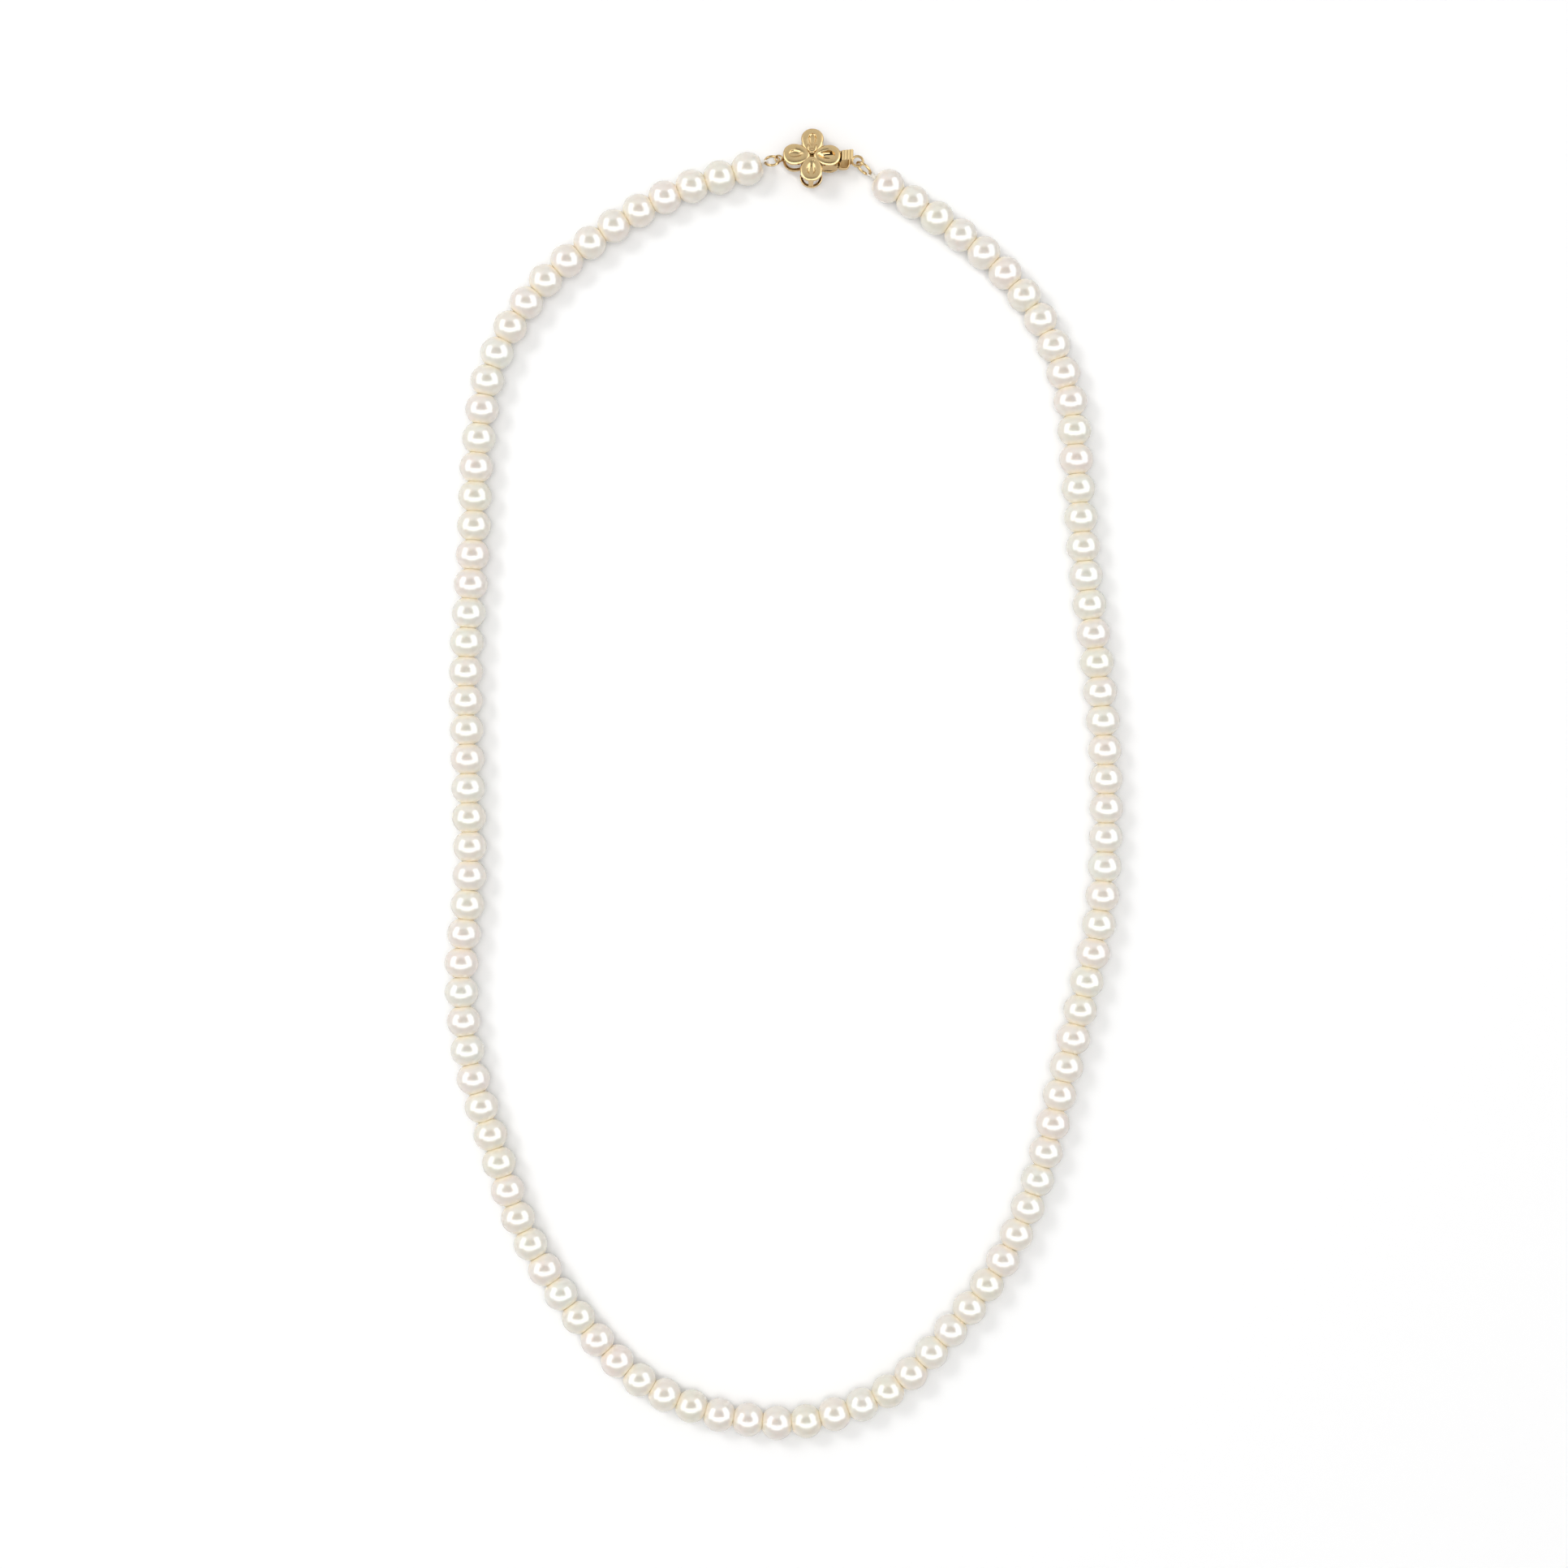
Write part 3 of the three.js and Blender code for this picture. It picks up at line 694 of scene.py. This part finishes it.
def solder_foot(ring, x, spread, reach):
    """Draws the side of a ring at x out into a flat solder foot towards its neighbour."""
    toward = 1 if reach > 0 else -1
    choose_faces(ring, lambda centre, normal: abs(centre.x - x) < 0.12 and normal.x * toward > 0.75)
    bpy.ops.mesh.extrude_region_move(TRANSFORM_OT_translate={"value": (reach, 0, 0)})
    bpy.ops.transform.resize(value=(1, spread, 1.1))


EYE_AT = Vector((-4.83, 0, -0.5))
EYE_RADIUS = 0.52
EYE_WIRE = 0.13
eye = wire_ring("left_eye_ring", EYE_AT, EYE_RADIUS, EYE_WIRE)
solder_foot(eye, EYE_AT.x + EYE_RADIUS + EYE_WIRE, 1.8, 0.18)
shape_done(eye, 60)
hand_over(eye, clasp_stand, "clasp_box", "left_eye_ring", materials=(polished_gold,))


# ---- Tongue ----
# The clasp's tongue: a flat lower leaf that ends in a little tray with a raised bright rim and the end
# ring, and a springy upper leaf, folded from the same strip, that ends in the ridged thumb tab.
LEAF_BOTTOM = -0.46
LEAF_THICKNESS = 0.22
LEAF_LEFT = -0.75
LEAF_HALF_WIDTH = 1.08
FOLD_CENTRE = (LEAF_LEFT, 0, -0.165)
FOLD_RETURN = 0.1
TRAY_LOW = Vector((3.95, -1.42, -0.72))
TRAY_HIGH = Vector((5.5, 1.42, -0.10))
TRAY_RIM = 0.2
TRAY_CORNER = 0.7
TRAY_DEPTH = 0.3

lower_leaf = block("tongue_lower_leaf", (LEAF_LEFT, -LEAF_HALF_WIDTH, LEAF_BOTTOM),
                   (TRAY_LOW.x + 0.2, LEAF_HALF_WIDTH, LEAF_BOTTOM + LEAF_THICKNESS))
choose_faces(lower_leaf, lambda centre, normal: normal.x < -0.9)
bpy.ops.mesh.spin(steps=8, angle=-math.pi, center=FOLD_CENTRE, axis=(0, 1, 0))
bpy.ops.mesh.extrude_region_move(TRANSFORM_OT_translate={"value": (FOLD_RETURN, 0, 0)})
shape_done(lower_leaf)
round_edges(lower_leaf, 0.05)
hand_over(lower_leaf, clasp_stand, "tongue", "tongue_leaf")

bpy.ops.object.select_all(action="DESELECT")
bpy.ops.mesh.primitive_plane_add(size=1)
tray = bpy.context.active_object
tray.name = "tongue_tray"
tray.location = ((TRAY_LOW.x + TRAY_HIGH.x) / 2, 0, TRAY_LOW.z)
tray.scale = (TRAY_HIGH.x - TRAY_LOW.x, TRAY_HIGH.y - TRAY_LOW.y, 1)
bpy.ops.object.transform_apply(location=True, rotation=False, scale=True)
bpy.ops.object.mode_set(mode="EDIT")
choose_verts(tray, lambda co: co.x > TRAY_HIGH.x - 0.01)
bpy.ops.mesh.bevel(offset=TRAY_CORNER, segments=8, affect="VERTICES")
bpy.ops.mesh.select_all(action="SELECT")
bpy.ops.mesh.extrude_region_move(TRANSFORM_OT_translate={"value": (0, 0, TRAY_HIGH.z - TRAY_LOW.z)})
bpy.ops.mesh.inset(thickness=TRAY_RIM, depth=0)
bpy.ops.mesh.extrude_region_move(TRANSFORM_OT_translate={"value": (0, 0, -TRAY_DEPTH)})
bpy.ops.mesh.inset(thickness=0.12, depth=-0.04)
shape_done(tray)
round_edges(tray, 0.06, 3)
hand_over(tray, clasp_stand, "tongue", "tongue_leaf",
          polished=lambda centre, normal: centre.z > TRAY_HIGH.z - 0.2 or normal.z < 0.3)

END_RING_AT = Vector((6.62, 0, -0.5))
END_RING_RADIUS = 0.79
END_RING_WIRE = 0.19
end_ring = wire_ring("tongue_end_ring", END_RING_AT, END_RING_RADIUS, END_RING_WIRE, 16)
solder_foot(end_ring, END_RING_AT.x - END_RING_RADIUS - END_RING_WIRE, 1.5, -0.2)
shape_done(end_ring, 60)
hand_over(end_ring, clasp_stand, "tongue", "tongue_end_ring")

SPRING_LEFT = -0.63
SPRING_LOW = -0.08
SPRING_THICKNESS = 0.2
NECK_LEFT = 2.8
NECK_RISE = 0.12
NECK_HALF_WIDTH = 0.45
TAB_HALF_WIDTH = 0.78
TAB_RISE = 0.03
TAB_END = 5.5
TAB_CORNER = 0.15
RIDGES = 3
RIDGE_STEP = 0.11
RIDGE_DEPTH = 0.035
# From the neck to the tab in steps: how far along, how far up, and how much wider.
STEPS_TO_TAB = (
    (1.2, 0.20, 1.0), (0.16, 0.06, TAB_HALF_WIDTH / NECK_HALF_WIDTH),
    (0.10, 0.32, 1.0), (0.12, 0.40, 1.0), (0.14, 0.08, 1.0),
)

spring = block("thumb_leaf", (SPRING_LEFT, -NECK_HALF_WIDTH, SPRING_LOW),
               (NECK_LEFT, NECK_HALF_WIDTH, SPRING_LOW + SPRING_THICKNESS))
choose_faces(spring, lambda centre, normal: normal.x > 0.9)
bpy.ops.transform.translate(value=(0, 0, NECK_RISE))


def draw_out(x, z, widen=1.0):
    """Draws the leaf's end on by x and up by z."""
    bpy.ops.mesh.extrude_region_move(TRANSFORM_OT_translate={"value": (x, 0, z)})
    if widen != 1.0:
        bpy.ops.transform.resize(value=(1, widen, 1))


for along, up, widen in STEPS_TO_TAB:
    draw_out(along, up, widen)
for _ in range(RIDGES):
    for lift in (0, -RIDGE_DEPTH, 0, RIDGE_DEPTH):
        draw_out(RIDGE_STEP, TAB_RISE + lift)
draw_out(0.16, 0.04, 0.96)
choose_faces(spring, lambda centre, normal: normal.x > 0.9 and centre.x > TAB_END)
bpy.ops.mesh.select_mode(type="EDGE")
bpy.ops.object.mode_set(mode="OBJECT")
for edge in spring.data.edges:
    near, far = (spring.data.vertices[corner].co for corner in edge.vertices)
    edge.select = edge.select and abs(near.y - far.y) < 0.01
bpy.ops.object.mode_set(mode="EDIT")
bpy.ops.mesh.bevel(offset=TAB_CORNER, segments=4)
shape_done(spring, 25)
round_edges(spring, 0.04)
hand_over(spring, clasp_stand, "thumb_leaf", "spring_leaf_with_thumb_tab",
          polished=lambda centre, normal: centre.x < NECK_LEFT)


# ---- Jump rings ----
# Two links of round gold wire, bent oval and closed, with a slight pinch at the seam. The left one joins
# the silk to the eye ring, and the right one joins it to the tongue's end ring.
LINK_WIRE = 0.195
SEAM_PINCH = 0.97
END_LINKS = {
    "left": {"half_length": 1.0, "half_width": 1.2},
    "right": {"half_length": 1.2, "half_width": 1.0},
}


def end_frame(side):
    """The far side of a jump ring, and the directions along, across and square to it."""
    swing, turn = joints[f"{side}_link_swing"], joints[f"{side}_end_turn"]
    far = Vector(turn["pos_m"])
    along = (far - Vector(swing["pos_m"])).normalized()
    square = Vector(swing["axis"])
    square = (square - square.project(along)).normalized()
    return far, along, square.cross(along), square


for side, link in END_LINKS.items():
    far, along, across, square = end_frame(side)
    ring = wire_ring(f"{side}_jump_ring", (0, 0, 0), 1.0, LINK_WIRE)
    choose_faces(ring, lambda centre, normal: abs(centre.y) < 0.06 and centre.x > 0)
    bpy.ops.transform.resize(value=(SEAM_PINCH, 1, SEAM_PINCH), center_override=(1.0, 0, 0))
    shape_done(ring, 60)
    for vertex in ring.data.vertices:
        out = Vector((vertex.co.x, vertex.co.y)).normalized()
        vertex.co.x += out.x * (link["half_length"] - 1)
        vertex.co.y += out.y * (link["half_width"] - 1)
    centre = far - along * link["half_length"] * MM
    hand_over(ring, standing(along, across, square, centre), f"{side}_link", f"{side}_jump_ring",
              materials=(polished_gold,))


# ---- Silk ----
# White silk thread. Each end is looped round its jump ring and whipped into a knot against the first
# pearl, and the same thread runs on through the drill holes of all the pearls.
SILK_RADIUS = 0.2
LOOP_WIRE = 0.12
THREAD_STEPS = 8
THREAD_END = 0.46
END_KNOTS = {
    "left": {"loop": 0.34, "radius": 0.2, "length": 0.22, "turns": 1},
    "right": {"loop": 0.36, "radius": 0.43, "length": 0.95, "turns": 5},
}
# The whipping's own thread, as a share of one turn's height, and its place, as a share of the radius.
WHIPPING_WIRE = 0.56
WHIPPING_AT = 0.68


def silk():
    """Twisted silk: fine strands that run round the thread, a little fuzzy."""
    material, tree, shader = node_material("silk_thread")
    nodes, links = tree.nodes, tree.links
    place = nodes.new("ShaderNodeTexCoord")
    strands = nodes.new("ShaderNodeTexNoise")
    strands.inputs["Scale"].default_value = 9000
    strands.inputs["Detail"].default_value = 3
    links.new(place.outputs["Object"], strands.inputs["Vector"])
    shade = nodes.new("ShaderNodeValToRGB")
    shade.color_ramp.elements[0].color = (0.60, 0.56, 0.50, 1)
    shade.color_ramp.elements[1].color = (0.84, 0.81, 0.76, 1)
    links.new(strands.outputs["Fac"], shade.inputs["Fac"])
    links.new(shade.outputs["Color"], shader.inputs["Base Color"])
    bump = nodes.new("ShaderNodeBump")
    bump.inputs["Strength"].default_value = 0.4
    bump.inputs["Distance"].default_value = 0.03 * MM
    links.new(strands.outputs["Fac"], bump.inputs["Height"])
    links.new(bump.outputs["Normal"], shader.inputs["Normal"])
    shader.inputs["Roughness"].default_value = 0.55
    shader.inputs["Sheen Weight"].default_value = 0.4
    return material


silk_material = silk()
for side, knot in END_KNOTS.items():
    far, along, across, square = end_frame(side)
    stand = standing(along, across, square, far)
    loop = wire_ring(f"{side}_silk_loop", (0, 0, 0), knot["loop"], LOOP_WIRE)
    bpy.ops.transform.rotate(value=math.radians(90), orient_axis="X", center_override=(0, 0, 0))
    shape_done(loop, 60)
    hand_over(loop, stand, f"{side}_run_01", f"{side}_silk_loop", (silk_material,))

    turn_height = knot["length"] / knot["turns"]
    bpy.ops.object.select_all(action="DESELECT")
    bpy.ops.mesh.primitive_circle_add(vertices=10, radius=WHIPPING_WIRE * turn_height)
    whipping = bpy.context.active_object
    whipping.name = f"{side}_silk_knot"
    bpy.ops.object.mode_set(mode="EDIT")
    bpy.ops.transform.rotate(value=math.radians(90), orient_axis="X", center_override=(0, 0, 0))
    bpy.ops.transform.translate(value=(knot["radius"] * WHIPPING_AT, 0, 0))
    bpy.ops.object.mode_set(mode="OBJECT")
    coil = whipping.modifiers.new("coil", "SCREW")
    coil.axis = "Z"
    coil.angle = math.tau
    coil.screw_offset = turn_height
    coil.iterations = knot["turns"]
    coil.steps = 20
    coil.render_steps = 20
    bpy.ops.object.modifier_apply(modifier=coil.name)
    only(whipping)
    bpy.ops.object.mode_set(mode="EDIT")
    shape_done(whipping, 60)
    start = Vector((knot["loop"] - 0.02, 0, 0))
    whipping.data.transform(Matrix.Translation(start) @ Matrix.Rotation(math.radians(90), 4, "Y"))
    hand_over(whipping, stand, f"{side}_run_01", f"{side}_silk_loop", (silk_material,))

for first in range(0, PEARL_COUNT, PEARLS_PER_RUN):
    side, number = run_of(first)
    bpy.ops.object.select_all(action="DESELECT")
    bpy.ops.mesh.primitive_circle_add(vertices=10, radius=SILK_RADIUS * MM, fill_type="NGON")
    thread = bpy.context.active_object
    thread.name = f"{side}_silk_{number}"
    start = first - (THREAD_END if first else 0.0)
    length = first + PEARLS_PER_RUN - 1 + THREAD_END - start
    stops = [start + length * step / THREAD_STEPS for step in range(THREAD_STEPS + 1)]
    place, direction = on_route(stops[0])
    facing = direction.to_track_quat("Z", "Y").to_matrix().to_4x4()
    thread.data.transform(Matrix.Translation(place) @ facing)
    bpy.ops.object.mode_set(mode="EDIT")
    bpy.ops.mesh.select_all(action="SELECT")
    for stop in stops[1:]:
        next_place, next_direction = on_route(stop)
        step = next_place - place
        bpy.ops.mesh.extrude_region_move(TRANSFORM_OT_translate={"value": step})
        bend = direction.xy.angle_signed(next_direction.xy)
        bpy.ops.transform.rotate(value=bend, orient_axis="Z", center_override=next_place)
        place, direction = next_place, next_direction
    shape_done(thread, 60)
    hand_over(thread, Matrix.Identity(4), f"{side}_run_{number}", f"{side}_pearl_run_{number}",
              (silk_material,))
